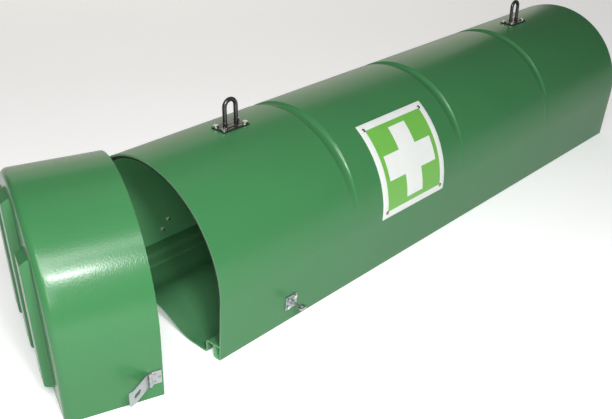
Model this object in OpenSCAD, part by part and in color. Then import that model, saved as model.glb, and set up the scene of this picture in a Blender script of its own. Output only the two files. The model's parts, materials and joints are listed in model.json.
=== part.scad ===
// Moulded stretcher storage canister: an arched tube with a pull-off end cap.
// Millimetres, +Z up. The origin is the centre of the tube's base on the ground,
// and the tube's mouth faces -X. The cap stands askew just off the mouth.

/* [Tube] */
// Length of the tube from its mouth to its closed end
tube_len = 2000; // [1700:10:2300]
// Width across the tube at its widest
tube_w = 543; // [500:1:600]
// Height of the crown above the ground
tube_h = 462; // [430:1:500]
// Thickness of the fibreglass laminate
shell_t = 5; // [4:0.5:6]
// Inward lean of the side walls below the arch, in degrees
wall_lean = 4.5; // [3:0.5:6]
// Rounding of the closed end's outer edge
end_round = 20; // [12:1:30]

/* [Swaged grooves] */
// Distance of the first groove from the mouth
groove_1 = 482; // [460:1:500]
// Distance of the second groove from the mouth
groove_2 = 974; // [940:1:1010]
// Distance of the third groove from the mouth
groove_3 = 1482; // [1440:1:1520]
// Width of each groove
groove_w = 38; // [30:1:46]
// Depth of each groove at the crown
groove_d = 9; // [6:0.5:10]

/* [Floor] */
// Height of the raised middle of the floor
hump_h = 54; // [40:1:60]
// Half width of the raised middle at its foot
hump_half_w = 150; // [130:1:165]
// Distance from the middle to the inner face of each side runner
runner_in = 205; // [195:1:210]
// Height of the side runners
runner_h = 45; // [38:1:50]

/* [Cap] */
// Depth of the cap over its flat end
cap_depth = 228; // [215:1:260]
// How far the cap's outside stands out beyond the tube's outside
cap_out = 22; // [20:1:26]
// Rounding of the cap's outer edge
cap_round = 18; // [12:1:24]
// Gap between the cap's lower edge and the ground
cap_lift = 1; // [0.5:0.5:2]
// Width of each upright rib on the cap's end
rib_w = 63; // [50:1:70]
// How far the ribs stand out from the end
rib_d = 24; // [18:1:35]
// Spacing of the ribs
rib_pitch = 160; // [115:1:165]
// Angle at which the cap stands when it is off the mouth
cap_yaw = 20; // [10:1:21]
// How far the cap's hasp pin travels back from closed to that place
cap_travel = 195; // [190:1:200]

/* [Lifting eyes] */
// Distance of the front lifting eye from the mouth
eye_front = 285; // [280:1:320]
// Distance of the rear lifting eye from the mouth
eye_rear = 1655; // [1600:1:1700]
// Length of an eye's base plate along the tube
eye_plate_l = 88; // [80:1:100]
// Width of an eye's base plate
eye_plate_w = 50; // [44:1:60]
// Height of the loop above its plate
loop_h = 76; // [65:1:85]
// Diameter of the loop's bar
loop_bar = 12; // [10:1:14]
// Spacing of the loop's legs
loop_legs = 38; // [34:1:44]

/* [Sign] */
// Side of the square first-aid sign
sign_side = 285; // [260:1:300]
// Distance of the sign's middle from the mouth
sign_x = 740; // [720:1:750]
// Angle of the sign's middle down from the crown
sign_angle = 65.8; // [64:0.1:67]

/* [Hasps] */
// Height of the near hasp and staple above the ground
near_hasp_z = 63; // [55:1:75]
// Height of the far hasp and staple above the ground
far_hasp_z = 88; // [75:1:95]
// Height of a hasp's leaf and strap
hasp_h = 38; // [32:1:42]
// Length of a hasp's strap from its pin
strap_l = 77; // [74:1:80]
// Distance from a hasp's pin to the middle of its slot
slot_at = 50; // [48:1:52]
// Angle of the straps away from fastened
strap_open = 137; // [100:1:150]

/* [Hidden] */
$fn = 96;

// Section of the tube: a half circle on walls that lean in towards the ground.
arch_r = tube_w / 2;
spring_z = tube_h - arch_r;
mouth_x = -tube_len / 2;
bare = 1;
seam = 0.05;
big = 1000;

// Grooves are rings of a round tool, set low so that they fade out at the spring line.
groove_r = (pow(groove_w / 2, 2) + pow(groove_d, 2)) / (2 * groove_d);
groove_drop = groove_d + 0.5;
groove_ends = 94;

// Cap, in its own frame: x = 0 at the rim, y = 0 in the middle, end towards -x.
cap_gap = cap_out - shell_t;
cap_lap = cap_depth - shell_t - 1.5;
cap_r = arch_r + cap_out;
rib_foot_z = 38;
rib_below_arch = 24;
rib_slant = 18;

// Seal just inside the mouth.
seal_t = 4;
seal_w = 22;

// Sign, bowed round the arch.
sign_gap = 0.1;
sign_t = 2;

// Hasps: leaf on the cap's wall, pin just outside it.
leaf_t = 2.5;
leaf_w = 28;
knuckle_r = 4.5;
pin_r = 2.5;
running_gap = 0.05;
pin_u = -32;
pin_out = leaf_t + 2.8;
knuckle_half = 6.6;
pin_y = wall_y(far_hasp_z) + cap_out / cos(wall_lean) + pin_out;
pin_x = mouth_x + cap_lap + pin_u - cap_travel;

// Staples, on the tube's walls where the straps' slots reach.
staple_x = mouth_x + cap_lap + pin_u + slot_at;
staple_side = 40;
staple_hole = 12;
staple_t = 3;
shank_r = 3.5;
head_l = 22;
head_w = 16;
head_t = 6;
head_hole_r = 4;

function wall_y(z) = (arch_r + (z - spring_z) * sin(wall_lean)) / cos(wall_lean);
function arch_z(y, r) = spring_z + sqrt(r * r - y * y);

// ---------- shared shapes ----------

// Draws a profile given as (y, z) and extrudes it along +X from x0 to x1.
module along_x(x0, x1) {
    translate([x0, 0, 0])
        rotate([90, 0, 90])
            linear_extrude(x1 - x0)
                children();
}

// Half profile of a closed end: radius outwards, length upwards, far corner rounded.
module end_profile(r, length, corner) {
    square([r, length - corner]);
    square([r - corner, length]);
    translate([r - corner, length - corner])
        circle(corner);
}

// Solid that fills the section, from x = 0 to a rounded end at x = length.
module plug(off, length, corner) {
    r = arch_r + off;
    reach = spring_z + 40;
    intersection() {
        translate([0, 0, spring_z])
            rotate([0, 90, 0])
                union() {
                    rotate([0, 0, 90 - wall_lean])
                        rotate_extrude(angle = 180 + 2 * wall_lean)
                            end_profile(r, length, corner);
                    plug_wall(r - seam, length - seam, corner, reach, 1);
                    plug_wall(r - seam, length - seam, corner, reach, -1);
                }
        translate([-bare, -big / 2, 0])
            cube([length + 2 * bare, big, big]);
    }
}

// One leaning wall of the plug, swept down from just inside the arch's end.
module plug_wall(r, length, corner, reach, side) {
    rotate([0, 0, side * (90 - wall_lean)])
        rotate([90, 0, 0])
            translate([0, 0, side > 0 ? -bare : -reach])
                linear_extrude(reach + bare)
                    end_profile(r, length, corner);
}

// Places its children on the arch, square to it, at an angle down the near side.
module on_arch(x, angle, off = 0) {
    translate([x, 0, spring_z])
        rotate([angle, 0, 0])
            translate([0, 0, arch_r + off])
                children();
}

// Places its children on a side wall: x along the tube, +Z outwards, leaning with the wall.
module on_wall(side, x, z, off = 0) {
    translate([x, side * wall_y(z), z])
        rotate([-side * 90, 0, 0])
            rotate([-side * wall_lean, 0, 0])
                translate([0, 0, off])
                    children();
}

module hexagon(across_flats, height) {
    cylinder(r = across_flats / sqrt(3), h = height, $fn = 6);
}

// Bolt with a hexagon head on the surface at z = 0 and its shank below.
module hex_bolt(r, shank, across_flats, head) {
    translate([0, 0, -shank])
        cylinder(r = r, h = shank);
    hexagon(across_flats, head);
}

// Rivet with a low round head on the surface at z = 0.
module rivet(r, shank, head_r, head) {
    dome_r = (head_r * head_r + head * head) / (2 * head);
    translate([0, 0, -shank])
        cylinder(r = r, h = shank);
    intersection() {
        translate([0, 0, head - dome_r])
            sphere(dome_r);
        cylinder(r = head_r, h = head);
    }
}

// ---------- tube ----------

module groove_ring(x, grow) {
    ring_r = arch_r - groove_d + groove_drop + groove_r;
    translate([mouth_x + x, 0, spring_z - groove_drop])
        rotate([0, 90, 0])
            rotate([0, 0, 180 - groove_ends])
                rotate_extrude(angle = 2 * groove_ends)
                    translate([ring_r, 0])
                        circle(groove_r + grow);
}

// The shell's J-shaped return along the foot of each wall, under the floor's runner.
module wall_return() {
    foot = wall_y(0) - shell_t - 0.4;
    leg = 237;
    for (side = [0, 1])
        mirror([side, 0])
            translate([leg - shell_t, 0]) {
                square([foot - leg + shell_t + 1, shell_t]);
                square([shell_t, runner_h - shell_t]);
            }
}

module tube_shell() {
    inner_len = tube_len - shell_t;
    color("seagreen")
        difference() {
            union() {
                difference() {
                    translate([mouth_x, 0, 0])
                        plug(0, tube_len, end_round);
                    for (x = [groove_1, groove_2, groove_3])
                        groove_ring(x, 0);
                    difference() {
                        translate([mouth_x - bare, 0, 0])
                            plug(-shell_t, inner_len + bare, end_round - shell_t);
                        for (x = [groove_1, groove_2, groove_3])
                            groove_ring(x, shell_t);
                    }
                }
                along_x(mouth_x, -mouth_x - shell_t - 1)
                    wall_return();
            }
            eye_holes(eye_front);
            eye_holes(eye_rear);
            at_sign_corners()
                cylinder(r = 2.2, h = 60, center = true);
            for (side = [-1, 1])
                at_staple_bolts(side)
                    cylinder(r = 3.3, h = 40, center = true);
        }
}

// Upper face of the floor at distance y from the middle.
function hump_z(y) = shell_t + (hump_h - shell_t) * (1 + cos(180 * y / hump_half_w)) / 2;

module floor_pan() {
    steps = 16;
    ledge = wall_y(runner_h) - shell_t - 0.5;
    upper = [for (i = [-steps:steps]) [i * hump_half_w / steps, hump_z(i * hump_half_w / steps)]];
    lower = [for (i = [steps:-1:-steps]) [i * hump_half_w / steps, hump_z(i * hump_half_w / steps) - shell_t]];
    right = [[runner_in, shell_t], [runner_in, runner_h], [ledge, runner_h], [ledge, runner_h - shell_t],
             [runner_in + shell_t, runner_h - shell_t], [runner_in + shell_t, 0]];
    left = [for (i = [len(right) - 1:-1:0]) [-right[i][0], right[i][1]]];
    color("darkseagreen")
        along_x(mouth_x, -mouth_x - end_round - 0.5)
            polygon(concat(upper, right, lower, left));
}

// Seal in three lengths: one round the arch and one down each wall.
module mouth_seal() {
    r = arch_r - shell_t - seal_t;
    drop = (spring_z - r * sin(wall_lean) - runner_h - 12) / cos(wall_lean);
    color("black")
        translate([mouth_x + 2, 0, spring_z])
            rotate([0, 90, 0]) {
                rotate([0, 0, 90 - wall_lean])
                    rotate_extrude(angle = 180 + 2 * wall_lean)
                        translate([r, 0])
                            square([seal_t, seal_w]);
                for (side = [0, 1])
                    mirror([0, side, 0])
                        rotate([0, 0, -wall_lean])
                            translate([0.3, r - 0.3, 0])
                                cube([drop, seal_t, seal_w]);
            }
}

// ---------- sign ----------

module at_sign_corners() {
    inset = 18;
    for (sx = [-1, 1], sa = [-1, 1])
        on_arch(mouth_x + sign_x + sx * (sign_side / 2 - inset),
                sign_angle + sa * (sign_side / 2 - inset) / arch_r * 180 / PI, sign_gap + sign_t)
            children();
}

module sign_plate() {
    half_angle = sign_side / 2 / arch_r * 180 / PI;
    color("limegreen")
        difference() {
            translate([mouth_x + sign_x - sign_side / 2, 0, spring_z])
                rotate([0, 90, 0])
                    rotate([0, 0, 180 + sign_angle - half_angle])
                        rotate_extrude(angle = 2 * half_angle)
                            translate([arch_r + sign_gap, 0])
                                square([sign_t, sign_side]);
            at_sign_corners()
                cylinder(r = 2.2, h = 60, center = true);
        }
}

module sign_rivets() {
    color("gainsboro")
        at_sign_corners()
            rivet(2, 12, 6, 2.4);
}

// ---------- lifting eyes ----------

bolt_dx = eye_plate_l / 2 - 8;
bolt_angle = (eye_plate_w / 2 - 9) / arch_r * 180 / PI;
plate_t = 4;

module at_eye_bolts(x) {
    for (sx = [-1, 1], sa = [-1, 1])
        on_arch(mouth_x + x + sx * bolt_dx, sa * bolt_angle)
            children();
}

module at_eye_legs(x) {
    for (sx = [-1, 1])
        on_arch(mouth_x + x + sx * loop_legs / 2, 0)
            children();
}

module eye_holes(x) {
    at_eye_bolts(x)
        cylinder(r = 4.3, h = 60, center = true);
    at_eye_legs(x)
        cylinder(r = loop_bar / 2 + 0.3, h = 60, center = true);
}

// Plate bent to the arch, between two offsets from the tube's outside.
module curved_plate(x, inner, outer) {
    half_angle = eye_plate_w / 2 / arch_r * 180 / PI;
    difference() {
        translate([mouth_x + x - eye_plate_l / 2, 0, spring_z])
            rotate([0, 90, 0])
                rotate([0, 0, 180 - half_angle])
                    rotate_extrude(angle = 2 * half_angle)
                        translate([arch_r + inner, 0])
                            square([outer - inner, eye_plate_l]);
        eye_holes(x);
    }
}

module eye_loop(x) {
    straight = loop_h - loop_bar / 2 - loop_legs / 2;
    inside = 22;
    at_eye_legs(x)
        translate([0, 0, -inside])
            cylinder(r = loop_bar / 2, h = inside + plate_t + straight);
    on_arch(mouth_x + x, 0, plate_t + straight)
        rotate([90, 0, 0])
            rotate_extrude(angle = 180)
                translate([loop_legs / 2, 0])
                    circle(loop_bar / 2);
}

module eye_bolts(x) {
    at_eye_bolts(x)
        translate([0, 0, plate_t])
            hex_bolt(4, 22, 13, 5);
}

// Nuts under the backing plate, drilled for the bolts and the loop's legs.
module eye_nuts(x) {
    under = shell_t + plate_t + 0.3;
    difference() {
        union() {
            at_eye_bolts(x)
                translate([0, 0, -under - 6.5])
                    hexagon(13, 6.5);
            at_eye_legs(x)
                translate([0, 0, -under - 10])
                    hexagon(19, 10);
        }
        at_eye_bolts(x)
            cylinder(r = 4.05, h = 60, center = true);
        at_eye_legs(x)
            cylinder(r = loop_bar / 2 + 0.05, h = 60, center = true);
    }
}

module front_eye_plate() {
    color("dimgray")
        curved_plate(eye_front, 0, plate_t);
}

module front_eye_loop() {
    color("dimgray")
        eye_loop(eye_front);
}

module front_eye_bolts() {
    color("silver")
        eye_bolts(eye_front);
}

module front_eye_backing() {
    color("dimgray")
        curved_plate(eye_front, -shell_t - plate_t, -shell_t);
}

module front_eye_nuts() {
    color("silver")
        eye_nuts(eye_front);
}

module rear_eye_plate() {
    color("dimgray")
        curved_plate(eye_rear, 0, plate_t);
}

module rear_eye_loop() {
    color("dimgray")
        eye_loop(eye_rear);
}

module rear_eye_bolts() {
    color("silver")
        eye_bolts(eye_rear);
}

module rear_eye_backing() {
    color("dimgray")
        curved_plate(eye_rear, -shell_t - plate_t, -shell_t);
}

module rear_eye_nuts() {
    color("silver")
        eye_nuts(eye_rear);
}

// ---------- staples ----------

function hasp_z(side) = side < 0 ? near_hasp_z : far_hasp_z;

module on_staple(side) {
    on_wall(side, staple_x, hasp_z(side))
        children();
}

// Level axis of the turning eye, pointing straight out from the wall.
module on_turn_axis(side) {
    translate([staple_x, side * wall_y(hasp_z(side)), hasp_z(side)])
        rotate([-side * 90, 0, 0])
            children();
}

// Two of the plate's four holes carry bolts, across one diagonal.
module at_staple_bolts(side) {
    for (s = [-1, 1])
        on_staple(side)
            translate([s * staple_hole, -side * s * staple_hole, 0])
                children();
}

module staple_plate(side) {
    difference() {
        union() {
            on_staple(side)
                translate([-staple_side / 2, -staple_side / 2, 0])
                    cube([staple_side, staple_side, staple_t]);
            on_turn_axis(side)
                cylinder(r = 8, h = 9);
        }
        on_staple(side) {
            for (sx = [-1, 1], sy = [-1, 1])
                translate([sx * staple_hole, sy * staple_hole, -bare])
                    cylinder(r = 3.3, h = 12);
            translate([-big / 2, -big / 2, -10])
                cube([big, big, 10]);
        }
        on_turn_axis(side)
            translate([0, 0, -10])
                cylinder(r = shank_r + running_gap, h = 30);
    }
}

module turn_eye(side) {
    strap_out = cap_out / cos(wall_lean) + pin_out + knuckle_r;
    head_at = strap_out + 0.8;
    on_turn_axis(side) {
        translate([0, 0, 1])
            cylinder(r = shank_r, h = head_at);
        translate([0, 0, 9.4])
            cylinder(r = 6, h = 3);
        difference() {
            translate([0, head_t / 2, head_at])
                rotate([90, 0, 0])
                    linear_extrude(head_t)
                        turn_head_outline();
            translate([0, 0, head_at + head_w / 2 + 1])
                rotate([90, 0, 0])
                    cylinder(r = head_hole_r, h = 20, center = true);
        }
    }
}

module turn_head_outline() {
    corner = 5;
    for (s = [-1, 1])
        translate([s * (head_l / 2 - corner), head_w - corner])
            circle(corner);
    translate([-head_l / 2, 0])
        square([head_l, head_w - corner]);
    translate([-head_l / 2 + corner, 0])
        square([head_l - 2 * corner, head_w]);
}

module staple_bolts(side) {
    at_staple_bolts(side)
        translate([0, 0, staple_t])
            hex_bolt(3, 16, 10, 4);
}

module staple_nuts(side) {
    difference() {
        at_staple_bolts(side)
            translate([0, 0, -shell_t - 5.1])
                hexagon(10, 5);
        at_staple_bolts(side)
            cylinder(r = 3.05, h = 40, center = true);
    }
}

module near_staple_plate() {
    color("silver")
        staple_plate(-1);
}

module near_staple_bolts() {
    color("gainsboro")
        staple_bolts(-1);
}

module near_staple_nuts() {
    color("gainsboro")
        staple_nuts(-1);
}

module near_turn_eye() {
    color("silver")
        turn_eye(-1);
}

module far_staple_plate() {
    color("silver")
        staple_plate(1);
}

module far_staple_bolts() {
    color("gainsboro")
        staple_bolts(1);
}

module far_staple_nuts() {
    color("gainsboro")
        staple_nuts(1);
}

module far_turn_eye() {
    color("silver")
        turn_eye(1);
}

// ---------- cap ----------

// Carries the cap's own frame to where the cap stands, turned about the far hasp's pin.
module in_cap_place() {
    translate([pin_x, pin_y, 0])
        rotate([0, 0, -cap_yaw])
            translate([-pin_u, -pin_y, 0])
                children();
}

// One upright rib, hollow inside; shrink makes the hollow.
module rib(y, shrink) {
    edge = abs(y) + rib_w / 2;
    top_z = arch_z(edge, cap_r) - rib_below_arch;
    base = cap_depth - shell_t;
    translate([0, y + rib_w / 2 - shrink, 0])
        rotate([90, 0, 0])
            linear_extrude(rib_w - 2 * shrink)
                polygon([[-base + shrink, rib_foot_z + shrink],
                         [-cap_depth - rib_d + shrink, rib_foot_z + 6 + shrink],
                         [-cap_depth - rib_d + shrink, top_z - rib_slant - shrink / 2],
                         [-base + shrink, top_z - shrink]]);
}

module cap_shell() {
    color("seagreen")
        in_cap_place()
            difference() {
                union() {
                    mirror([1, 0, 0])
                        plug(cap_out, cap_depth, cap_round);
                    for (i = [-1:1])
                        rib(i * rib_pitch, 0);
                }
                translate([bare, 0, 0])
                    mirror([1, 0, 0])
                        plug(cap_gap, cap_depth - shell_t + bare, cap_round - shell_t);
                for (i = [-1:1])
                    rib(i * rib_pitch, 4);
                for (side = [-1, 1])
                    at_leaf_holes(side)
                        cylinder(r = 2.1, h = 40, center = true);
                translate([-big / 2, -big / 2, -big + cap_lift])
                    cube([big, big, big]);
            }
}

// ---------- hasps, drawn in the cap's frame ----------

// Upright axis of a hasp's pin: u along the cap, w outwards from its wall.
module on_hasp(side) {
    translate([pin_u, side * (wall_y(hasp_z(side)) + cap_out / cos(wall_lean) + pin_out), hasp_z(side)])
        mirror([0, side < 0 ? 1 : 0, 0])
            children();
}

// Places its children on the leaf's face, leaning with the wall, +Z outwards.
module on_leaf(side) {
    on_hasp(side)
        translate([0, 0.1 - pin_out, 0])
            rotate([-90 - wall_lean, 0, 0])
                children();
}

// Three fixings in the leaf: two next to the pin and one near the rim.
module at_leaf_holes(side) {
    for (p = [[0.42, 0.30], [0.42, -0.30], [0.80, 0]])
        on_leaf(side)
            translate([p[0] * leaf_w, p[1] * hasp_h, 0])
                children();
}

module knuckle(z0, z1) {
    difference() {
        translate([0, 0, z0])
            cylinder(r = knuckle_r, h = z1 - z0);
        translate([0, 0, z0 - bare])
            cylinder(r = pin_r + running_gap, h = z1 - z0 + 2 * bare);
    }
}

module hasp_leaf(side) {
    inner = knuckle_r + 0.6;
    difference() {
        union() {
            on_leaf(side)
                translate([inner, -hasp_h / 2, 0])
                    cube([leaf_w - inner, hasp_h, leaf_t]);
            on_hasp(side)
                for (end = [0, 1])
                    mirror([0, 0, end]) {
                        knuckle(knuckle_half + 0.4, hasp_h / 2);
                        translate([3.2, -knuckle_r, knuckle_half + 0.4])
                            cube([4, 3, hasp_h / 2 - knuckle_half - 0.4]);
                    }
        }
        at_leaf_holes(side)
            cylinder(r = 2.1, h = 40, center = true);
        // The knuckles are upright and the wall leans, so their backs are cut flush with the leaf.
        on_leaf(side)
            translate([-2 * knuckle_r, -hasp_h, -2 * knuckle_r])
                cube([leaf_w, 2 * hasp_h, 2 * knuckle_r]);
    }
}

module hasp_strap(side) {
    root = knuckle_r + 0.9;
    on_hasp(side)
        rotate([0, 0, strap_open]) {
            knuckle(-knuckle_half, knuckle_half);
            translate([1.5, 2.6, -knuckle_half])
                cube([root, knuckle_r - 2.6, 2 * knuckle_half]);
            difference() {
                translate([0, 0, -hasp_h / 2])
                    linear_extrude(hasp_h)
                        polygon([[root, 2], [strap_l - 14, 2], [strap_l, 6], [strap_l - 0.8, 8.4],
                                 [strap_l - 14.6, 4.5], [root, 4.5]]);
                strap_slot();
            }
        }
}

module strap_slot() {
    half = 9;
    slot_r = 5;
    for (s = [-1, 1])
        translate([slot_at + s * half, 0, 0])
            rotate([-90, 0, 0])
                cylinder(r = slot_r, h = 10);
    translate([slot_at - half, 0, -slot_r])
        cube([2 * half, 10, 2 * slot_r]);
}

module hasp_pin(side) {
    on_hasp(side)
        cylinder(r = pin_r, h = hasp_h, center = true);
}

module hasp_rivets(side) {
    at_leaf_holes(side)
        translate([0, 0, leaf_t])
            rivet(2, 10, 3.6, 1.4);
}

module near_hasp_leaf() {
    color("silver")
        in_cap_place()
            hasp_leaf(-1);
}

module near_hasp_rivets() {
    color("gainsboro")
        in_cap_place()
            hasp_rivets(-1);
}

module near_hasp_pin() {
    color("gainsboro")
        in_cap_place()
            hasp_pin(-1);
}

module near_hasp_strap() {
    color("silver")
        in_cap_place()
            hasp_strap(-1);
}

module far_hasp_leaf() {
    color("silver")
        in_cap_place()
            hasp_leaf(1);
}

module far_hasp_rivets() {
    color("gainsboro")
        in_cap_place()
            hasp_rivets(1);
}

module far_hasp_pin() {
    color("gainsboro")
        in_cap_place()
            hasp_pin(1);
}

module far_hasp_strap() {
    color("silver")
        in_cap_place()
            hasp_strap(1);
}

tube_shell();
floor_pan();
mouth_seal();
sign_plate();
sign_rivets();
front_eye_plate();
front_eye_loop();
front_eye_bolts();
front_eye_backing();
front_eye_nuts();
rear_eye_plate();
rear_eye_loop();
rear_eye_bolts();
rear_eye_backing();
rear_eye_nuts();
near_staple_plate();
near_staple_bolts();
near_staple_nuts();
near_turn_eye();
far_staple_plate();
far_staple_bolts();
far_staple_nuts();
far_turn_eye();
cap_shell();
near_hasp_leaf();
near_hasp_rivets();
near_hasp_pin();
near_hasp_strap();
far_hasp_leaf();
far_hasp_rivets();
far_hasp_pin();
far_hasp_strap();
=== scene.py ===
import json
import math

import bmesh
import bpy
from mathutils import Matrix, Vector


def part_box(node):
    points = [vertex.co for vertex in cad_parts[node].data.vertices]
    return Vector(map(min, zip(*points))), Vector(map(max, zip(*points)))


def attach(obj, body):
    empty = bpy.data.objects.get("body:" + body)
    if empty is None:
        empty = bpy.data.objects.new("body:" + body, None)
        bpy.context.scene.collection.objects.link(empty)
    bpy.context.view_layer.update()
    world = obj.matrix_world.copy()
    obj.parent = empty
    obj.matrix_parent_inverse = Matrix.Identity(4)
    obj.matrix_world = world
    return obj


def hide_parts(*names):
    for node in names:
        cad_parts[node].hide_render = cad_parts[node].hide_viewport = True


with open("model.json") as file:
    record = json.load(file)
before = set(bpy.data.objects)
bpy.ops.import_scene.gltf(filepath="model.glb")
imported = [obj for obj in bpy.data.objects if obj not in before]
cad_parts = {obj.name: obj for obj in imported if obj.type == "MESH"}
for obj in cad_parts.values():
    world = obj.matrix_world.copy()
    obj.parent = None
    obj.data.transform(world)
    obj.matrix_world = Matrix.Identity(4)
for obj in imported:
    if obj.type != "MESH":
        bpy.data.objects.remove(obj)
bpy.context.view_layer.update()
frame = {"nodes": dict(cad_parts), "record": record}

# ---------------------------------------------------------------- dimensions in metres, and counts of rows

QUARTER_TURN = math.pi / 2
ROUND_STEPS = 8  # rows of faces round the rounded edge of an end

tube_lo, tube_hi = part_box("tube_shell")
MOUTH_X, END_X = tube_lo.x, tube_hi.x
ARCH_R = tube_hi.y
SPRING_Z = tube_hi.z - ARCH_R
SHELL = 0.005
SKIN_EDGE = 0.0007  # width of the broken edges of the moulded skins
LEAN = math.radians(4.5)
END_ROUND = 0.020

GROOVE_W, GROOVE_D = 0.038, 0.009
GROOVE_R = ((GROOVE_W / 2) ** 2 + GROOVE_D ** 2) / (2 * GROOVE_D)
GROOVE_LOW = 0.007  # the lowest point lies this far past the groove's middle
GROOVE_REACH = 0.024
GROOVE_FADE = GROOVE_D + 0.0005  # depth lost between the crown and the spring line
GROOVE_SOFT_NEAR, GROOVE_SOFT_FAR = 0.0016, 0.0007  # how softly each side meets the skin
GROOVE_TAIL = 60  # takes off what the soft meeting leaves outside the groove
GROOVES = [MOUTH_X + d for d in (0.482, 0.974, 1.482)]
LIP, ROW_STEP, ROW_GAP = 0.004, 0.0012, 0.04  # first row, rows in a groove, rows elsewhere

LEG_Y, LEG_Z = 0.232, 0.039
FOOT_BEND = 0.0065
FOOT_TOP = 2 * FOOT_BEND

floor_lo, floor_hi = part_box("floor_pan")
FLOOR_ROWS = 50
RUNNER_Y, RUNNER_Z = 0.205, 0.042
RUNNER_BEND_LOW, RUNNER_BEND_TOP = 0.009, 0.012
HUMP_Z, HUMP_HALF, HUMP_STEPS = floor_hi.z, 0.150, 40

SEAL_PROUD, SEAL_T = 0.0028, 0.008
SEAL_GAP, SEAL_FACETS, SEAL_SQUARENESS = 0.0001, 12, 0.6

sign_lo, sign_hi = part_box("sign_plate")
SIGN_X, SIGN_SIDE = (sign_lo.x + sign_hi.x) / 2, sign_hi.x - sign_lo.x
SIGN_ANGLE = math.radians(65.8)
SIGN_GAP, SIGN_T, SIGN_FACE, SIGN_EDGE = 0.0001, 0.002, 0.009, 0.0004
SIGN_BORDER, CROSS_HALF_SPAN, CROSS_HALF_BAR = 0.021, 0.105, 0.036
SIGN_FIELD = SIGN_SIDE / 2 - SIGN_BORDER

CAP_OUT, CAP_DEPTH, CAP_ROUND, CAP_LIFT = 0.022, 0.228, 0.018, 0.001
CAP_FLAT = CAP_OUT - CAP_ROUND  # the flat of the cap's end is this much larger than the tube
CAP_FLAT_R = ARCH_R + CAP_FLAT
CAP_YAW = math.radians(-20)
CAP_TAPER = 0.045  # share by which the cap is deeper at the height of the tube's crown

pin_lo, pin_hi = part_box("far_hasp_pin")
PIN = (pin_lo + pin_hi) / 2
PIN_IN_CAP = Vector((-0.032, PIN.y, 0))

RIB_CENTRES = (-0.160, 0.0, 0.160)
RIB_HALF, RIB_D, RIB_BEND = 0.0315, 0.021, 0.005
RIB_DRAFT, RIB_FOOT_RUN, RIB_TOP_RUN, RIB_TOP_BEND = 0.003, 0.006, 0.014, 0.006
RIB_FOOT_Z = 0.039
RIB_TOP_GAP = 0.029  # the ribs stop this far below the cap's outside
RIB_EDGE = RIB_CENTRES[-1] + RIB_HALF + 0.006  # beyond this the rows of the end fan out

# the cap's end is a grid: level rows from the foot up, then TOP_ROWS rows that follow the arch
FOOT_LEVELS = (0.009, 0.017, 0.025, 0.031)
LEVEL_FROM, LEVEL_TO, LEVEL_ROWS, TOP_ROWS = 0.056, 0.345, 34, 64
# widest column, columns on to where the wall starts, columns along the wall, rows along the cap's side
COLUMN_GAP, ARC_COLUMNS, WALL_COLUMNS, SIDE_ROWS = 0.009, 16, 10, 9


# ---------------------------------------------------------------- node materials

def new_material(name):
    """A material with only its Principled shader, the node tree and that shader."""
    mat = bpy.data.materials.new(name)
    mat.use_nodes = True
    tree = mat.node_tree
    shader = next(n for n in tree.nodes if n.type == "BSDF_PRINCIPLED")
    return mat, tree, shader


def stretched_coordinates(tree, scale=(1, 1, 1)):
    """The piece's own coordinates, in metres, stretched by scale."""
    coordinates = tree.nodes.new("ShaderNodeTexCoord")
    mapping = tree.nodes.new("ShaderNodeMapping")
    mapping.inputs["Scale"].default_value = scale
    tree.links.new(coordinates.outputs["Object"], mapping.inputs["Vector"])
    return mapping.outputs["Vector"]


def noise(tree, vector, scale, detail=3.0, distortion=0.0):
    node = tree.nodes.new("ShaderNodeTexNoise")
    node.inputs["Scale"].default_value = scale
    node.inputs["Detail"].default_value = detail
    node.inputs["Distortion"].default_value = distortion
    tree.links.new(vector, node.inputs["Vector"])
    return node.outputs["Fac"]


def remap(tree, value, low, high, from_low=0.3, from_high=0.7):
    """value, stretched from from_low..from_high to low..high."""
    node = tree.nodes.new("ShaderNodeMapRange")
    node.inputs["From Min"].default_value = from_low
    node.inputs["From Max"].default_value = from_high
    node.inputs["To Min"].default_value = low
    node.inputs["To Max"].default_value = high
    tree.links.new(value, node.inputs["Value"])
    return node.outputs["Result"]


def colour_between(tree, factor, low, high):
    ramp = tree.nodes.new("ShaderNodeValToRGB")
    ramp.color_ramp.elements[0].position = 0.2
    ramp.color_ramp.elements[0].color = (*low, 1)
    ramp.color_ramp.elements[1].position = 0.8
    ramp.color_ramp.elements[1].color = (*high, 1)
    tree.links.new(factor, ramp.inputs["Fac"])
    return ramp.outputs["Color"]


def blend_colours(tree, factor, a, b):
    mix = tree.nodes.new("ShaderNodeMix")
    mix.data_type = "RGBA"
    tree.links.new(factor, mix.inputs["Factor"])
    tree.links.new(a, mix.inputs["A"])
    tree.links.new(b, mix.inputs["B"])
    return mix.outputs["Result"]


def set_surface(tree, shader, base, rough):
    tree.links.new(base, shader.inputs["Base Color"])
    tree.links.new(rough, shader.inputs["Roughness"])


def bumps(tree, shader, layers):
    """Chains bump nodes: each layer is (height, distance in metres, strength)."""
    normal = None
    for height, distance, strength in layers:
        node = tree.nodes.new("ShaderNodeBump")
        node.inputs["Distance"].default_value = distance
        node.inputs["Strength"].default_value = strength
        tree.links.new(height, node.inputs["Height"])
        if normal is not None:
            tree.links.new(normal, node.inputs["Normal"])
        normal = node.outputs["Normal"]
    tree.links.new(normal, shader.inputs["Normal"])


def shade(colour, factor):
    return tuple(c * factor for c in colour)


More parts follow.
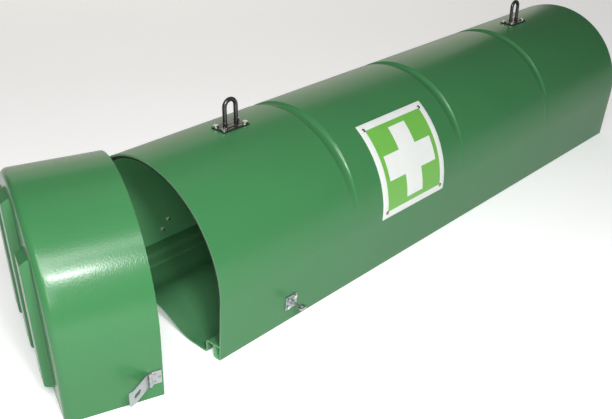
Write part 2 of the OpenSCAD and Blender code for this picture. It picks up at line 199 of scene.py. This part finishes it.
def gelcoat(name, colour, rough, streaks, waves):
    """Pigmented gelcoat: cloudy colour, a slow waviness and glass strands that show through."""
    mat, tree, shader = new_material(name)
    plain = stretched_coordinates(tree)
    along_wall = stretched_coordinates(tree, (1, 1, 0.12))
    clouds = noise(tree, plain, 4.0, 2.0)
    strands = noise(tree, along_wall, 300.0, 1.0)
    cloudy = colour_between(tree, clouds, shade(colour, 0.93), shade(colour, 1.07))
    streaky = colour_between(tree, strands, shade(colour, 0.97), shade(colour, 1.03))
    half = remap(tree, noise(tree, plain, 9.0, 1.0), 0.3, 0.7, 0.0, 1.0)
    uneven = 0.025  # kept small: a stronger variation made small dark marks on the tube
    dulled = remap(tree, noise(tree, plain, 7.0, 0.0), rough - uneven, rough + uneven, 0.0, 1.0)
    set_surface(tree, shader, blend_colours(tree, half, cloudy, streaky), dulled)
    bumps(tree, shader, [
        (noise(tree, plain, 5.0, 1.0), waves, 0.6),
        (strands, 0.0003, streaks),
    ])
    shader.inputs["Specular IOR Level"].default_value = 0.27
    shader.inputs["Coat Weight"].default_value = 0.06
    shader.inputs["Coat Roughness"].default_value = 0.10
    return mat


def raw_laminate(name, colour):
    """The unpolished back of the laminate: resin over glass mat, with strands in all directions."""
    mat, tree, shader = new_material(name)
    plain = stretched_coordinates(tree)
    mat_a = noise(tree, stretched_coordinates(tree, (1, 0.15, 1)), 260.0, 4.0, 1.5)
    mat_b = noise(tree, stretched_coordinates(tree, (0.15, 1, 1)), 260.0, 4.0, 1.5)
    patches = noise(tree, plain, 9.0, 4.0)
    first = colour_between(tree, mat_a, shade(colour, 0.82), shade(colour, 1.12))
    second = colour_between(tree, mat_b, shade(colour, 0.86), shade(colour, 1.1))
    base = blend_colours(tree, patches, first, second)
    set_surface(tree, shader, base, remap(tree, mat_a, 0.38, 0.6))
    bumps(tree, shader, [(mat_a, 0.0005, 0.45), (mat_b, 0.0005, 0.45), (patches, 0.002, 0.3)])
    return mat


def cut_edge(name, colour):
    """The trimmed edge of the laminate, rough and grainy."""
    mat, tree, shader = new_material(name)
    plain = stretched_coordinates(tree)
    grain = noise(tree, plain, 900.0, 4.0)
    base = colour_between(tree, grain, shade(colour, 0.8), shade(colour, 1.2))
    set_surface(tree, shader, base, remap(tree, grain, 0.45, 0.7))
    bumps(tree, shader, [(grain, 0.0003, 0.6)])
    return mat


def sign_sheet(name, colour, rough):
    """Printed rigid plastic: satin, with faintly mottled ink and uneven gloss."""
    mat, tree, shader = new_material(name)
    plain = stretched_coordinates(tree)
    clouds = noise(tree, plain, 16.0, 5.0)
    base = colour_between(tree, clouds, shade(colour, 0.95), shade(colour, 1.03))
    gloss = remap(tree, noise(tree, plain, 60.0, 5.0), rough - 0.06, rough + 0.08)
    set_surface(tree, shader, base, gloss)
    bumps(tree, shader, [(noise(tree, plain, 500.0, 2.0), 0.00004, 0.3), (clouds, 0.0006, 0.25)])
    return mat


def black_paint(name):
    """Glossy black enamel on steel, a little dusty, with orange peel."""
    mat, tree, shader = new_material(name)
    plain = stretched_coordinates(tree)
    dust = noise(tree, plain, 45.0, 6.0)
    base = colour_between(tree, dust, (0.009, 0.010, 0.009), (0.017, 0.018, 0.016))
    set_surface(tree, shader, base, remap(tree, dust, 0.18, 0.30))
    bumps(tree, shader, [(noise(tree, plain, 260.0, 1.0), 0.0001, 0.15)])
    shader.inputs["Specular IOR Level"].default_value = 0.7
    return mat


def plated(name, colour, rough, spangle, metallic=1.0):
    """Plated steel: patchy crystals, fine scratches and duller spots; haze makes it less metallic."""
    mat, tree, shader = new_material(name)
    plain = stretched_coordinates(tree)
    crystals = tree.nodes.new("ShaderNodeTexVoronoi")
    crystals.inputs["Scale"].default_value = spangle
    tree.links.new(plain, crystals.inputs["Vector"])
    patches = crystals.outputs["Distance"]
    scratches = noise(tree, stretched_coordinates(tree, (1, 0.1, 1)), 900.0, 3.0)
    spots = noise(tree, plain, 120.0, 5.0)
    base = colour_between(tree, spots, shade(colour, 0.78), shade(colour, 1.05))
    set_surface(tree, shader, base, remap(tree, spots, rough - 0.08, rough + 0.16))
    bumps(tree, shader, [(patches, 0.0001, 0.25), (scratches, 0.00005, 0.4)])
    shader.inputs["Metallic"].default_value = metallic
    return mat


def foam_rubber(name):
    """Black cellular rubber strip."""
    mat, tree, shader = new_material(name)
    plain = stretched_coordinates(tree)
    cells = noise(tree, plain, 900.0, 4.0)
    base = colour_between(tree, cells, (0.006, 0.006, 0.006), (0.022, 0.022, 0.021))
    set_surface(tree, shader, base, remap(tree, cells, 0.75, 0.95))
    bumps(tree, shader, [(cells, 0.0004, 0.7)])
    return mat


def floor_paint(name, glow):
    """Pale studio floor that glows a little, so that it stays pale."""
    mat, tree, shader = new_material(name)
    clouds = noise(tree, stretched_coordinates(tree), 1.5, 3.0)
    base = colour_between(tree, clouds, (0.86, 0.86, 0.86), (0.88, 0.88, 0.88))
    tree.links.new(base, shader.inputs["Base Color"])
    shader.inputs["Roughness"].default_value = 0.7
    shader.inputs["Emission Color"].default_value = (1, 1, 1, 1)
    shader.inputs["Emission Strength"].default_value = glow
    return mat


GREEN = (0.041, 0.168, 0.060)
gelcoat_tube = gelcoat("gelcoat_tube", GREEN, 0.30, 0.06, 0.0008)
gelcoat_cap = gelcoat("gelcoat_cap", shade(GREEN, 1.02), 0.25, 0.7, 0.0012)
# painted light: the inside laminate's colour is lightened so that the shaded inside of the tube and cap
# looks lit
laminate = raw_laminate("laminate_inside_painted_light", (0.124, 0.385, 0.166))
floor_laminate = raw_laminate("laminate_floor", (0.052, 0.176, 0.073))
# the cut edge is lighter than the skins, and its colour is raised further as a painted highlight along the
# rims
edge = cut_edge("laminate_edge_painted_highlight", (0.120, 0.300, 0.145))
sign_white = sign_sheet("sign_white", (0.66, 0.68, 0.655), 0.38)
sign_green = sign_sheet("sign_green", (0.135, 0.385, 0.062), 0.38)
paint = black_paint("black_enamel")
zinc = plated("zinc_plate", (0.44, 0.46, 0.47), 0.42, 260.0)
bright = plated("bright_plate", (0.74, 0.74, 0.72), 0.26, 500.0)
hazy = plated("hazy_plate", (0.86, 0.87, 0.84), 0.40, 500.0, 0.25)
dull = plated("dull_rivet", (0.33, 0.325, 0.315), 0.42, 500.0)
rubber = foam_rubber("seal_foam")


# ---------------------------------------------------------------- mesh helpers

SHORTEST_EDGE = 0.00003
SHARP_ANGLE, SKIN_BEVEL_ANGLE, COPY_BEVEL_ANGLE = math.radians(35), math.radians(50), math.radians(40)
WELD_DISTANCE = 0.00001


def put_in_scene(name, data):
    obj = bpy.data.objects.new(name, data)
    bpy.context.scene.collection.objects.link(obj)
    return obj


def new_object(name, vertices, faces, materials, face_materials=None):
    mesh = bpy.data.meshes.new(name)
    mesh.from_pydata([tuple(v) for v in vertices], [], faces)
    for material in materials:
        mesh.materials.append(material)
    if face_materials:
        mesh.polygons.foreach_set("material_index", face_materials)
    mesh.validate()
    return put_in_scene(name, mesh)


def drop_slivers(mesh):
    """Closes up the hair-thin faces that a bevel leaves where the faces round it are small."""
    work = bmesh.new()
    work.from_mesh(mesh)
    bmesh.ops.dissolve_degenerate(work, dist=SHORTEST_EDGE, edges=work.edges[:])
    work.to_mesh(mesh)
    work.free()


def apply_modifiers(obj):
    """Turns the modifiers into mesh, clears its slivers and shades it smooth up to the sharp angle."""
    bpy.context.view_layer.update()
    evaluated = obj.evaluated_get(bpy.context.evaluated_depsgraph_get())
    mesh = bpy.data.meshes.new_from_object(evaluated)
    obj.modifiers.clear()
    obj.data = mesh
    drop_slivers(mesh)
    mesh.shade_smooth()
    mesh.set_sharp_from_angle(angle=SHARP_ANGLE)


def thicken(obj, thickness):
    """Gives a skin its thickness, inwards, with the second material inside and the third on its edges."""
    solid = obj.modifiers.new("thickness", "SOLIDIFY")
    solid.thickness = thickness
    solid.offset = -1
    solid.use_even_offset = True
    solid.material_offset = 1
    solid.material_offset_rim = 2


def soften(obj, width, angle=SKIN_BEVEL_ANGLE):
    """Breaks the edges that are sharper than the angle."""
    bevel = obj.modifiers.new("soft_edges", "BEVEL")
    bevel.width = width
    bevel.segments = 2
    bevel.limit_method = "ANGLE"
    bevel.angle_limit = angle


def stand_in(obj, body, slot, *nodes):
    """obj rides on the body and is shown instead of the nodes."""
    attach(obj, body)
    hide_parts(*nodes)


def moulded(name, vertices, faces, materials, body, slot, node):
    """A moulded skin with its real thickness, shown instead of the node."""
    obj = new_object(name, vertices, faces, materials)
    thicken(obj, SHELL)
    soften(obj, SKIN_EDGE)
    apply_modifiers(obj)
    stand_in(obj, body, slot, node)


def steps_to(first, last, count):
    """count evenly spaced values after first, the last of them at last."""
    return [first + (last - first) * (i + 1) / count for i in range(count)]


def bridge(faces, previous, ring):
    """Adds quads between two rows of points of the same length."""
    for i in range(len(ring) - 1):
        faces.append((previous[i], ring[i], ring[i + 1], previous[i + 1]))


def lattice(rows, columns, closed=False):
    """Quads between rows of points that are numbered row by row."""
    faces = []
    for r in range(rows - 1):
        for c in range(columns if closed else columns - 1):
            after = (c + 1) % columns
            here, there = r * columns, (r + 1) * columns
            faces.append((here + c, there + c, there + after, here + after))
    return faces


def rounded_path(corners, steps=6):
    """A path through corners (y, z, radius), each corner rounded to its radius."""
    path = []
    for i, (y, z, radius) in enumerate(corners):
        here = Vector((y, z))
        if i in (0, len(corners) - 1) or radius == 0:
            path.append((y, z))
            continue
        back = (Vector(corners[i - 1][:2]) - here).normalized()
        on = (Vector(corners[i + 1][:2]) - here).normalized()
        half = back.angle(on) / 2
        reach = radius / math.tan(half)
        centre = here + (back + on).normalized() * radius / math.sin(half)
        first, last = here + back * reach - centre, here + on * reach - centre
        turn = first.angle_signed(last)
        for k in range(steps + 1):
            spoke = first.copy()
            spoke.rotate(Matrix.Rotation(-turn * k / steps, 2))
            path.append(tuple(centre + spoke))
    return path


# ---------------------------------------------------------------- the section shared by tube and cap

def arch_point(angle, off):
    """Point (y, z) on the arch, by its angle from +Y."""
    radius = ARCH_R + off
    return radius * math.cos(angle), SPRING_Z + radius * math.sin(angle)


def wall_y(z, off):
    """Half width between the leaning walls at height z."""
    return (ARCH_R + off + (z - SPRING_Z) * math.sin(LEAN)) / math.cos(LEAN)


def wall_top(off):
    """Height at which the walls meet the arch."""
    return SPRING_Z - (ARCH_R + off) * math.sin(LEAN)


def wall_points(side, foot, off, steps):
    """Points up one wall from the foot to the arch, without the last one."""
    top = wall_top(off)
    heights = [foot + (top - foot) * i / steps for i in range(steps)]
    return [(side * wall_y(z, off), z) for z in heights]


def section(off, foot, wall_steps=10, arch_steps=132):
    """Points from the near foot over the arch to the far foot."""
    near = wall_points(-1, foot, off, wall_steps)
    sweep = math.pi + 2 * LEAN
    angles = [math.pi + LEAN - sweep * i / arch_steps for i in range(arch_steps + 1)]
    far = [(-y, z) for y, z in reversed(near)]
    return near + [arch_point(a, off) for a in angles] + far


# ---------------------------------------------------------------- tube

def groove_depth(x, y, z):
    """How deep the swaged grooves are at a point of the outer skin."""
    deepest = 0.0
    if z <= SPRING_Z:
        return deepest
    upness = (z - SPRING_Z) / math.hypot(y, z - SPRING_Z)
    for centre in GROOVES:
        u = x - centre
        if abs(u) >= GROOVE_REACH:
            continue
        if u > GROOVE_LOW:
            soft, side = GROOVE_SOFT_FAR, GROOVE_W / 2 - GROOVE_LOW
        else:
            soft, side = GROOVE_SOFT_NEAR, GROOVE_W / 2 + GROOVE_LOW
        across = min(abs(u - GROOVE_LOW) / side * GROOVE_W / 2, GROOVE_R)
        arc = math.sqrt(GROOVE_R * GROOVE_R - across * across) - GROOVE_R + GROOVE_D
        depth = arc - GROOVE_FADE * (1 - upness)
        smooth = (depth + math.sqrt(depth * depth + soft * soft)) / 2
        deepest = max(deepest, smooth - soft * soft * GROOVE_TAIL)
    return deepest


def tube_stations():
    """X of each row of the tube's skin, close together across the grooves."""
    xs = [MOUTH_X, MOUTH_X + LIP]
    for centre in GROOVES:
        start = centre - GROOVE_REACH
        xs += steps_to(xs[-1], start, max(1, round((start - xs[-1]) / ROW_GAP)))
        xs += [start + ROW_STEP * (i + 1) for i in range(round(2 * GROOVE_REACH / ROW_STEP))]
    stop = END_X - END_ROUND
    return xs + steps_to(xs[-1], stop, round((stop - xs[-1]) / ROW_GAP))


def tube_row(x, near_hook, flat, far_hook):
    """One row of the tube's skin, with the grooves pressed in."""
    row = [(x, y, z) for y, z in near_hook]
    for y, z in flat:
        squeeze = 1 - groove_depth(x, y, z) / ARCH_R
        row.append((x, y * squeeze, SPRING_Z + (z - SPRING_Z) * squeeze if z > SPRING_Z else z))
    return row + [(x, y, z) for y, z in far_hook]


def close_far_end(vertices, faces, previous, feet):
    """Adds the rounded far end: rings that shrink, then a flat plate in strips from wall to wall."""
    for k in range(1, ROUND_STEPS + 1):
        a = QUARTER_TURN * k / ROUND_STEPS
        x, off = END_X - END_ROUND + END_ROUND * math.sin(a), END_ROUND * (math.cos(a) - 1)
        start = len(vertices)
        ring = [(-wall_y(0, off), 0), *section(off, FOOT_TOP), (wall_y(0, off), 0)]
        vertices += [(x, y, z) for y, z in ring]
        inner = [start + 1 + i for i in range(len(previous))]
        bridge(faces, previous, inner)
        ends = (start, start + len(ring) - 1)
        faces.append((feet[0], ends[0], inner[0], previous[0]))
        faces.append((previous[-1], inner[-1], ends[1], feet[1]))
        previous, feet = inner, ends
    plate = [feet[0], *previous, feet[1]]
    for i in range(len(plate) // 2 - 1):
        faces.append((plate[i], plate[-i - 1], plate[-i - 2], plate[i + 1]))


def tube_case():
    foot = (LEG_Y, 0, FOOT_BEND)
    wall_foot = (wall_y(0, 0), 0, FOOT_BEND)
    up_wall = (wall_y(FOOT_TOP, 0), FOOT_TOP, 0)
    hook = rounded_path([(LEG_Y, LEG_Z, 0), foot, wall_foot, up_wall])[:-1]
    near_hook, far_hook = [(-y, z) for y, z in hook], [(y, z) for y, z in reversed(hook)]
    flat = section(0, FOOT_TOP)
    stations = tube_stations()
    vertices = []
    for x in stations:
        vertices += tube_row(x, near_hook, flat, far_hook)
    width = len(near_hook) + len(flat) + len(far_hook)
    faces = lattice(len(stations), width)
    flat_from = (len(stations) - 1) * width + len(near_hook)
    last_flat = [flat_from + i for i in range(len(flat))]
    close_far_end(vertices, faces, last_flat, (flat_from - 1, flat_from + len(flat)))
    materials = [gelcoat_tube, laminate, edge]
    moulded("tube_case", vertices, faces, materials, "tube", "green_gelcoat", "tube_shell")


def hump_point(i):
    """Point (y, z) number i on the floor's wave-shaped hump."""
    rise = (HUMP_Z - SHELL) * (1 - math.cos(2 * math.pi * i / HUMP_STEPS)) / 2
    return -HUMP_HALF + 2 * HUMP_HALF * i / HUMP_STEPS, SHELL + rise


def tube_floor():
    hump = [hump_point(i) for i in range(HUMP_STEPS + 1)]
    far = rounded_path([
        (HUMP_HALF, SHELL, 0),
        (RUNNER_Y, SHELL, RUNNER_BEND_LOW),
        (RUNNER_Y, RUNNER_Z, RUNNER_BEND_TOP),
        (floor_hi.y, RUNNER_Z, 0),
    ])[1:]
    profile = [(-y, z) for y, z in reversed(far)] + hump + far
    long = floor_hi.x - floor_lo.x
    xs = [floor_lo.x + long * i / FLOOR_ROWS for i in range(FLOOR_ROWS + 1)]
    vertices = [(x, y, z) for x in xs for y, z in profile]
    faces = lattice(len(xs), len(profile))
    materials = [floor_laminate, floor_laminate, edge]
    moulded("floor_moulding", vertices, faces, materials, "tube", "inner_laminate", "floor_pan")


def seal_strip():
    """One strip of foam with a rounded inner face, run round the mouth."""
    lo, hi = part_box("mouth_seal")
    half = (hi.x - lo.x) / 2 + SEAL_PROUD / 2
    middle = (lo.x + hi.x - SEAL_PROUD) / 2
    angles = [math.pi * i / SEAL_FACETS for i in range(1, SEAL_FACETS)]
    round_face = [(-half * math.cos(a), -SEAL_T * math.sin(a) ** SEAL_SQUARENESS) for a in angles]
    profile = [(-half, 0.0), *round_face, (half, 0.0)]
    vertices = []
    path = section(-SHELL - SEAL_GAP, lo.z)
    for y, z in path:
        inward = Vector((y, z - SPRING_Z)) if z > SPRING_Z else Vector((math.copysign(1, y), 0))
        inward.normalize()
        vertices += [(middle + u, y + inward.x * w, z + inward.y * w) for u, w in profile]
    faces = lattice(len(path), len(profile), closed=True)
    faces.append(tuple(range(len(profile))))
    faces.append(tuple(reversed(range(len(vertices) - len(profile), len(vertices)))))
    obj = new_object("seal_foam_strip", vertices, faces, [rubber])
    apply_modifiers(obj)
    stand_in(obj, "tube", "seal_rubber", "mouth_seal")


def sign_lines():
    """Where the sign's faces meet, from its middle: the edges of its field and cross are among them."""
    breaks = [-SIGN_SIDE / 2, -SIGN_FIELD, -CROSS_HALF_SPAN, -CROSS_HALF_BAR]
    breaks += [-b for b in reversed(breaks)]
    lines = []
    for a, b in zip(breaks, breaks[1:]):
        count = max(1, round((b - a) / SIGN_FACE))
        lines += [a + (b - a) * i / count for i in range(count)]
    return lines + breaks[-1:]


def sign_colour(u, v):
    """Number of the sign's material at a distance from its middle: 0 white, 1 green."""
    in_field = max(u, v) < SIGN_FIELD
    in_cross = min(u, v) < CROSS_HALF_BAR and max(u, v) < CROSS_HALF_SPAN
    return 1 if in_field and not in_cross else 0


def sign():
    """Plastic sheet bowed round the arch; the printed field and cross are faces of their own."""
    lines = sign_lines()
    radius = ARCH_R + SIGN_GAP + SIGN_T
    vertices = []
    for v in lines:
        angle = QUARTER_TURN + SIGN_ANGLE + v / ARCH_R
        y, z = radius * math.cos(angle), SPRING_Z + radius * math.sin(angle)
        vertices += [(SIGN_X + u, y, z) for u in lines]
    middles = [abs(a + b) / 2 for a, b in zip(lines, lines[1:])]
    kinds = [sign_colour(u, v) for v in middles for u in middles]
    faces = lattice(len(lines), len(lines))
    obj = new_object("first_aid_sign", vertices, faces, [sign_white, sign_green], kinds)
    solid = obj.modifiers.new("thickness", "SOLIDIFY")
    solid.thickness = SIGN_T
    solid.offset = -1
    solid.material_offset = -1
    solid.material_offset_rim = -1
    soften(obj, SIGN_EDGE)
    apply_modifiers(obj)
    stand_in(obj, "tube", "sign_plastic", "sign_plate")


# ---------------------------------------------------------------- cap: made in its own frame, then placed

def in_cap_place(point):
    """A point of the cap in the shared frame; the cap is a little deeper at its crown than at its foot."""
    x, y, z = point
    taper = 1 + CAP_TAPER * z / tube_hi.z
    turned = Matrix.Rotation(CAP_YAW, 3, "Z") @ (Vector((x * taper, y, z)) - PIN_IN_CAP)
    return turned + Vector((PIN.x, PIN.y, 0))


def slope_profile(run, rise, bend):
    """Points (distance, height) from flat ground, up a slope and on to a flat top, both bends rounded."""
    lead = 0.02
    path = [(-lead, 0, 0), (0, 0, bend), (run, rise, bend), (run + lead, rise, 0)]
    return rounded_path(path, 5)[1:-1]


def height_on(profile, distance):
    """Height of a slope profile at a distance."""
    if distance <= profile[0][0]:
        return 0.0
    for (d0, h0), (d1, h1) in zip(profile, profile[1:]):
        if distance <= d1:
            return h0 + (h1 - h0) * (distance - d0) / max(d1 - d0, 1e-9)
    return profile[-1][1]


RIB_SIDE = slope_profile(RIB_DRAFT, RIB_D, RIB_BEND)
RIB_FOOT = slope_profile(RIB_FOOT_RUN, RIB_D, RIB_BEND)
RIB_TOP = slope_profile(RIB_TOP_RUN, RIB_D, RIB_TOP_BEND)


def rib_top_z(centre):
    """Height at which a rib ends, below the arch over its outer side."""
    edge_y = abs(centre) + RIB_HALF
    cap_r = ARCH_R + CAP_OUT
    return SPRING_Z + math.sqrt(cap_r ** 2 - edge_y ** 2) - RIB_TOP_GAP


def rib_height(y, z):
    """How far the cap's end stands out at a point."""
    for centre in RIB_CENTRES:
        side = RIB_HALF - abs(y - centre)
        if side > RIB_SIDE[0][0]:
            return min(
                height_on(RIB_SIDE, side),
                height_on(RIB_FOOT, z - RIB_FOOT_Z),
                height_on(RIB_TOP, rib_top_z(centre) - z),
            )
    return 0.0


def half_columns():
    """Y of the columns of the cap's end, from the middle outwards: close together at the ribs' sides."""
    ys = []
    for centre in RIB_CENTRES[1:]:
        for side in (-1, 1):
            ys += [centre + side * (RIB_HALF - d) for d, _ in RIB_SIDE]
    columns = [0.0]
    for y in sorted(y for y in ys if y > 0):
        columns += steps_to(columns[-1], y, max(1, math.ceil((y - columns[-1]) / COLUMN_GAP)))
    start = math.acos(columns[-1] / CAP_FLAT_R)
    stop = math.acos(wall_y(CAP_LIFT, CAP_FLAT) / CAP_FLAT_R)
    columns += [CAP_FLAT_R * math.cos(a) for a in steps_to(start, stop, ARC_COLUMNS)]
    heights = steps_to(CAP_LIFT, wall_top(CAP_FLAT), WALL_COLUMNS)
    return columns + [wall_y(z, CAP_FLAT) for z in heights]


def cap_levels():
    """Heights of the level rows between the ribs' outer edges, close together at the ribs' feet."""
    foot = [RIB_FOOT_Z + d for d, _ in RIB_FOOT]
    tall = LEVEL_TO - LEVEL_FROM
    body = [LEVEL_FROM + tall * i / LEVEL_ROWS for i in range(LEVEL_ROWS + 1)]
    levels = sorted([CAP_LIFT, *FOOT_LEVELS, *foot, *body])
    return [z for i, z in enumerate(levels) if i == 0 or z - levels[i - 1] > 1e-5]


def cap_low(y):
    """Height of the lower edge of the cap's flat end."""
    if abs(y) <= wall_y(CAP_LIFT, CAP_FLAT) + 1e-9:
        return CAP_LIFT
    return SPRING_Z - (CAP_FLAT_R - abs(y) * math.cos(LEAN)) / math.sin(LEAN)


def cap_end(ys):
    """Points of the cap's ribbed end, and how many rows: level over the ribs, fanned out beyond them."""
    levels = cap_levels()
    edge_top = SPRING_Z + math.sqrt(CAP_FLAT_R ** 2 - RIB_EDGE ** 2)
    fractions = [(z - CAP_LIFT) / (edge_top - CAP_LIFT) for z in levels]
    fractions += steps_to(fractions[-1], 1, TOP_ROWS)
    vertices = []
    for r, fraction in enumerate(fractions):
        for c, y in enumerate(ys):
            low, top = cap_low(y), SPRING_Z + math.sqrt(max(CAP_FLAT_R ** 2 - y * y, 0))
            if abs(y) > RIB_EDGE:
                z = low + (top - low) * fraction
            elif r < len(levels):
                z = levels[r]
            else:
                z = LEVEL_TO + (top - LEVEL_TO) * (r - len(levels) + 1) / TOP_ROWS
            if c in (0, len(ys) - 1):
                y = math.copysign(math.sqrt(CAP_FLAT_R ** 2 - (z - SPRING_Z) ** 2), y)
            vertices.append((-CAP_DEPTH - rib_height(y, z), y, z))
    return vertices, len(fractions)


def cap_boundary(rows, width):
    """Numbers of the end's boundary points, from the near foot over the arch to the far foot."""
    bottom_near = list(range(WALL_COLUMNS, -1, -1))
    near_side = [r * width for r in range(1, rows - 1)]
    over = [(rows - 1) * width + c for c in range(width)]
    far_side = [r * width + width - 1 for r in range(rows - 2, 0, -1)]
    bottom_far = list(range(width - 1, width - 2 - WALL_COLUMNS, -1))
    return bottom_near + near_side + over + far_side + bottom_far


def grown(p, extra):
    """Place (y, z) of the boundary point p where the section is larger by extra."""
    if p.z >= wall_top(CAP_FLAT) - 1e-6:
        spoke = Vector((p.y, p.z - SPRING_Z)).normalized() * (CAP_FLAT_R + extra)
        return spoke.x, SPRING_Z + spoke.y
    share = (p.z - CAP_LIFT) / (wall_top(CAP_FLAT) - CAP_LIFT)
    z = CAP_LIFT + (wall_top(CAP_FLAT + extra) - CAP_LIFT) * share
    return math.copysign(wall_y(z, CAP_FLAT + extra), p.y), z


def cap_rings():
    """(x, growth of the section) of each ring, round the end's edge and on along the cap's side."""
    rings = []
    for k in range(1, ROUND_STEPS + 1):
        a = QUARTER_TURN * k / ROUND_STEPS
        rings.append((-CAP_DEPTH + CAP_ROUND * (1 - math.cos(a)), CAP_ROUND * math.sin(a)))
    side_from = -CAP_DEPTH + CAP_ROUND
    return rings + [(side_from * (1 - (i + 1) / SIDE_ROWS), CAP_ROUND) for i in range(SIDE_ROWS)]


def cap_case():
    half = half_columns()
    ys = [-y for y in reversed(half)] + half[1:]
    vertices, rows = cap_end(ys)
    faces = lattice(rows, len(ys))
    previous = cap_boundary(rows, len(ys))
    rim = [Vector(vertices[i]) for i in previous]
    for x, extra in cap_rings():
        start = len(vertices)
        vertices += [(x, *grown(p, extra)) for p in rim]
        ring = [start + i for i in range(len(rim))]
        bridge(faces, previous, ring)
        previous = ring
    placed = [in_cap_place(v) for v in vertices]
    materials = [gelcoat_cap, laminate, edge]
    moulded("cap_case", placed, faces, materials, "cap", "green_gelcoat", "cap_shell")


# ---------------------------------------------------------------- hardware

def cad_body(node):
    """The body that a CAD node belongs to."""
    bodies = frame["record"]["behaviour"]["bodies"]
    return next(body for body, nodes in bodies.items() if node in nodes)


def keep_node(node, material):
    """Shows the CAD node itself, in a better material."""
    for slot in frame["nodes"][node].material_slots:
        slot.material = material


def soft_copy(node, record_slot, material, edge_width):
    """A copy of a CAD node's mesh with its sharp edges broken, shown instead of the node."""
    source = frame["nodes"][node].data
    vertices = [v.co.copy() for v in source.vertices]
    faces = [tuple(p.vertices) for p in source.polygons]
    obj = new_object(node + "_finished", vertices, faces, [material])
    weld = obj.modifiers.new("join_faces", "WELD")
    weld.merge_threshold = WELD_DISTANCE
    soften(obj, edge_width, COPY_BEVEL_ANGLE)
    apply_modifiers(obj)
    stand_in(obj, cad_body(node), record_slot, node)


# end of the node's name, the record's slot, material, width of the broken edges
EYE_PARTS = [
    ("_eye_plate", "black_paint", paint, 0.0006),
    ("_eye_backing", "black_paint", paint, 0.0006),
    ("_eye_bolts", "bright_steel", bright, 0.0005),
    ("_eye_nuts", "bright_steel", bright, 0.0005),
]
LOCK_PARTS = [
    ("_staple_plate", "zinc_plate", zinc, 0.0004),
    ("_staple_bolts", "bright_steel", bright, 0.0004),
    ("_staple_nuts", "bright_steel", hazy, 0.0004),
    ("_turn_eye", "zinc_plate", zinc, 0.0005),
    ("_hasp_leaf", "zinc_plate", zinc, 0.0003),
    ("_hasp_pin", "bright_steel", bright, 0.0004),
    ("_hasp_strap", "zinc_plate", zinc, 0.0003),
]


def hardware():
    for end in ("front", "rear"):
        keep_node(end + "_eye_loop", paint)
        for node, record_slot, material, edge_width in EYE_PARTS:
            soft_copy(end + node, record_slot, material, edge_width)
    for side in ("near", "far"):
        keep_node(side + "_hasp_rivets", dull)
        for node, record_slot, material, edge_width in LOCK_PARTS:
            soft_copy(side + node, record_slot, material, edge_width)
    keep_node("sign_rivets", dull)


# ---------------------------------------------------------------- camera, floor and light

CAMERA_AT = Vector((-2.0452, -1.5330, 1.3098))
CAMERA_AZIMUTH, CAMERA_DOWN, CAMERA_ROLL = math.radians(43.48), math.radians(28.39), math.radians(0.48)
CAMERA_LENS, CAMERA_SENSOR, CAMERA_SEES = 49.49, 36, 100  # millimetres, millimetres, metres

FLOOR_HALF, FLOOR_GLOW, WORLD_LIGHT = 40, 0.34, 0.10
WHITE, WARM = (1, 1, 1), (1.0, 0.93, 0.82)
# name, place, the point it faces, size, power in watts, colour
LIGHTS = [
    ("key_light", (-1.74, -1.90, 1.70), (-1.0, -0.1, 0.3), (0.36, 0.15), 30, WHITE),
    ("side_fill", (-2.35, -1.75, 2.5), (-0.9, 0.0, 0.3), (1.5, 1.1), 72, WHITE),
    ("mouth_fill", (-2.25, -1.75, 1.05), (-0.8, 0.2, 0.3), (0.7, 0.5), 9, WHITE),
    ("high_fill", (-1.22, -1.80, 2.45), (-1.1, -0.1, 0.4), (1.0, 0.35), 11, WHITE),
    ("ceiling", (0.1, 0.2, 3.0), (0.0, 0.0, 0.4), (2.0, 1.2), 3, WHITE),
    ("back_wall", (2.0, 3.8, 1.9), (0.3, 0, 0.8), (7.0, 3.2), 62, WARM),
]


def camera():
    data = bpy.data.cameras.new("camera")
    data.lens = CAMERA_LENS
    data.sensor_width = CAMERA_SENSOR
    data.sensor_fit = "HORIZONTAL"
    data.clip_end = CAMERA_SEES
    ahead = Vector((
        math.cos(CAMERA_DOWN) * math.cos(CAMERA_AZIMUTH),
        math.cos(CAMERA_DOWN) * math.sin(CAMERA_AZIMUTH),
        -math.sin(CAMERA_DOWN),
    ))
    level = Vector((math.sin(CAMERA_AZIMUTH), -math.cos(CAMERA_AZIMUTH), 0))
    up = level.cross(ahead)
    right = level * math.cos(CAMERA_ROLL) + up * math.sin(CAMERA_ROLL)
    above = up * math.cos(CAMERA_ROLL) - level * math.sin(CAMERA_ROLL)
    turn = Matrix((right, above, -ahead)).transposed()
    obj = put_in_scene("camera", data)
    obj.matrix_world = Matrix.Translation(CAMERA_AT) @ turn.to_4x4()
    bpy.context.scene.camera = obj


def area_light(name, place, target, size, power, colour):
    data = bpy.data.lights.new(name, "AREA")
    data.shape = "RECTANGLE"
    data.size, data.size_y = size
    data.energy = power
    data.color = colour
    obj = put_in_scene(name, data)
    obj.location = place
    obj.rotation_euler = (Vector(target) - Vector(place)).to_track_quat("-Z", "Y").to_euler()


def studio():
    """The pale floor, a faint even light from all round, and the lights."""
    signs = ((-1, -1), (1, -1), (1, 1), (-1, 1))
    mesh = bpy.data.meshes.new("studio_floor")
    mesh.from_pydata([(FLOOR_HALF * a, FLOOR_HALF * b, 0) for a, b in signs], [], [(0, 1, 2, 3)])
    mesh.materials.append(floor_paint("studio_floor_paint", FLOOR_GLOW))
    put_in_scene("studio_floor", mesh)
    world = bpy.data.worlds.new("studio")
    world.use_nodes = True
    background = world.node_tree.nodes["Background"]
    background.inputs["Color"].default_value = (1.0, 1.0, 1.0, 1)
    background.inputs["Strength"].default_value = WORLD_LIGHT
    bpy.context.scene.world = world
    for light in LIGHTS:
        area_light(*light)
    bpy.context.scene.view_settings.view_transform = "Standard"


camera()
tube_case()
tube_floor()
seal_strip()
sign()
cap_case()
hardware()
studio()
